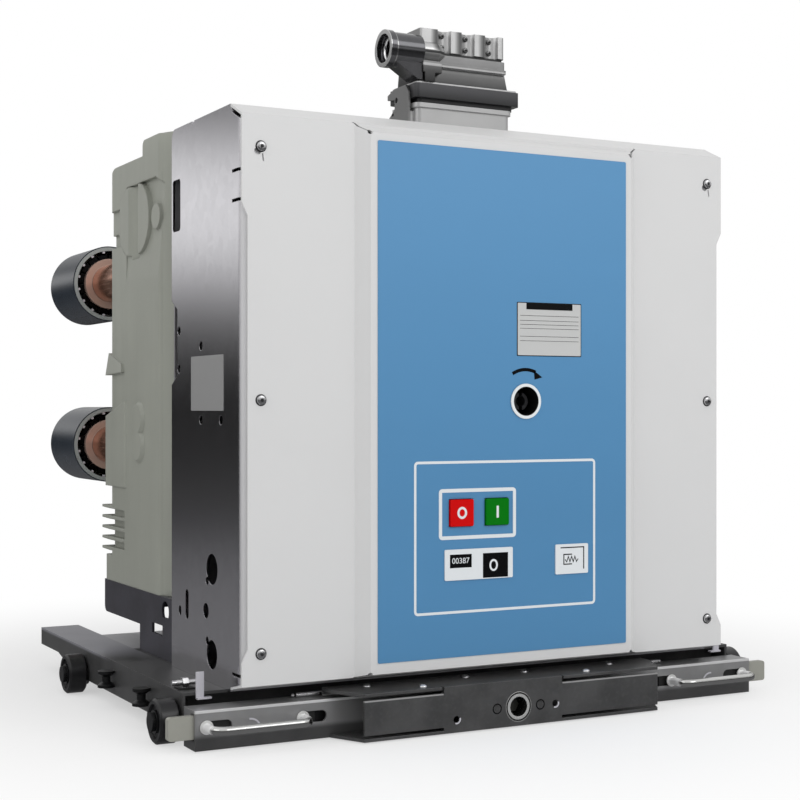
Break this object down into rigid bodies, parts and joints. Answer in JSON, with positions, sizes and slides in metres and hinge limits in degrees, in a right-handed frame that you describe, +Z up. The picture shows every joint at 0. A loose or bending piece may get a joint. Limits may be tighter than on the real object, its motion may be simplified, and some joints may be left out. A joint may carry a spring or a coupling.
{
  "type": "withdrawable vacuum circuit breaker",
  "caption": "Withdrawable medium-voltage vacuum circuit breaker: sheet-metal drive housing, moulded poles with tulip contacts, on a racking truck with rollers, crossbar and sliding handles.",
  "frame": {"origin": "on the floor under the centre of the bounding box, with all joints at rest", "axes": "+X to the right seen from the front panel, +Y to the rear where the tulip contacts are, +Z up"},
  "size_m": [0.702, 0.779, 0.7155],
  "materials": {
    "cover_paint": "satin powder coat",
    "panel_blue": "satin",
    "trim_white": "satin",
    "window_black": "gloss",
    "zinc_sheet": "galvanised",
    "dark_steel": "matt",
    "pole_resin": "cast epoxy resin",
    "copper": "polished copper",
    "tulip_black": "gloss",
    "shelf_paint": "satin",
    "truck_steel": "phosphated",
    "bright_steel": "ground",
    "chrome_grip": "chrome plated",
    "tongue_zinc": "zinc plated",
    "roller_black": "moulded",
    "button_red": "gloss",
    "button_green": "gloss",
    "plug_cast": "die cast",
    "plug_dark": "satin",
    "gland_metal": "nickel plated"
  },
  "bodies": {
    "breaker": {"front_cover": "cover_paint", "blue_panel": "panel_blue", "crank_port": "trim_white", "indicator_bezel": "trim_white", "indicator_windows": "window_black", "side_plate_left": "zinc_sheet", "side_plate_right": "zinc_sheet", "top_plate": "cover_paint", "rear_plate": "zinc_sheet", "base_plate": "zinc_sheet", "mechanism_box": "dark_steel", "pole_left": "pole_resin", "pole_centre": "pole_resin", "pole_right": "pole_resin", "arms_left": "copper", "arms_centre": "copper", "arms_right": "copper", "tulips_left": "tulip_black", "tulips_centre": "tulip_black", "tulips_right": "tulip_black", "pole_shelf": "shelf_paint", "rail_left": "truck_steel", "rail_right": "truck_steel", "chassis_plate": "truck_steel", "front_beam": "truck_steel", "plug_pedestal": "plug_cast", "plug_frame": "plug_dark", "plug_hood": "plug_cast", "cable_gland": "gland_metal"},
    "crossbar": {"crossbar": "truck_steel", "drive_box": "truck_steel", "socket_sleeve": "bright_steel", "guide_rods": "bright_steel"},
    "racking_screw": {"racking_screw": "bright_steel"},
    "handle_left": {"handle_left": "chrome_grip", "tongue_left": "tongue_zinc"},
    "handle_right": {"handle_right": "chrome_grip", "tongue_right": "tongue_zinc"},
    "roller_front_left": {"roller_front_left": "roller_black"},
    "roller_front_right": {"roller_front_right": "roller_black"},
    "roller_rear_left": {"roller_rear_left": "roller_black"},
    "roller_rear_right": {"roller_rear_right": "roller_black"},
    "button_off": {"button_off": "button_red"},
    "button_on": {"button_on": "button_green"},
    "crank_coupling": {"crank_coupling": "dark_steel"}
  },
  "joints": [
    {"name": "crossbar_slide", "type": "slide", "parent": "breaker", "child": "crossbar", "axis": [0, -1, 0], "range_m": [0, 0.2]},
    {"name": "racking_screw_turn", "type": "hinge", "parent": "crossbar", "child": "racking_screw", "pos_m": [0, -0.3515, 0.0205], "axis": [0, 1, 0], "range_deg": [0, 7205]},
    {"name": "handle_left_slide", "type": "slide", "parent": "crossbar", "child": "handle_left", "axis": [1, 0, 0], "range_m": [0, 0.02], "stiffness_N_per_m": 600, "springref_m": -0.01},
    {"name": "handle_right_slide", "type": "slide", "parent": "crossbar", "child": "handle_right", "axis": [-1, 0, 0], "range_m": [0, 0.02], "stiffness_N_per_m": 600, "springref_m": -0.01},
    {"name": "button_off_press", "type": "slide", "parent": "breaker", "child": "button_off", "axis": [0, 1, 0], "range_m": [0, 0.004], "stiffness_N_per_m": 800, "springref_m": -0.003},
    {"name": "button_on_press", "type": "slide", "parent": "breaker", "child": "button_on", "axis": [0, 1, 0], "range_m": [0, 0.004], "stiffness_N_per_m": 800, "springref_m": -0.003},
    {"name": "crank_turn", "type": "hinge", "parent": "breaker", "child": "crank_coupling", "pos_m": [0.0215, -0.3565, 0.324], "axis": [0, 1, 0], "continuous": true},
    {"name": "roller_front_left_spin", "type": "hinge", "parent": "breaker", "child": "roller_front_left", "pos_m": [-0.337, -0.2965, 0.0215], "axis": [1, 0, 0], "continuous": true},
    {"name": "roller_rear_left_spin", "type": "hinge", "parent": "breaker", "child": "roller_rear_left", "pos_m": [-0.337, 0.0035, 0.0215], "axis": [1, 0, 0], "continuous": true},
    {"name": "roller_front_right_spin", "type": "hinge", "parent": "breaker", "child": "roller_front_right", "pos_m": [0.337, -0.2965, 0.0215], "axis": [1, 0, 0], "continuous": true},
    {"name": "roller_rear_right_spin", "type": "hinge", "parent": "breaker", "child": "roller_rear_right", "pos_m": [0.337, 0.0035, 0.0215], "axis": [1, 0, 0], "continuous": true}
  ],
  "couplings": [
    {"joint": "racking_screw_turn", "follows": "crossbar_slide", "rad_per_m": 628.32}
  ]
}
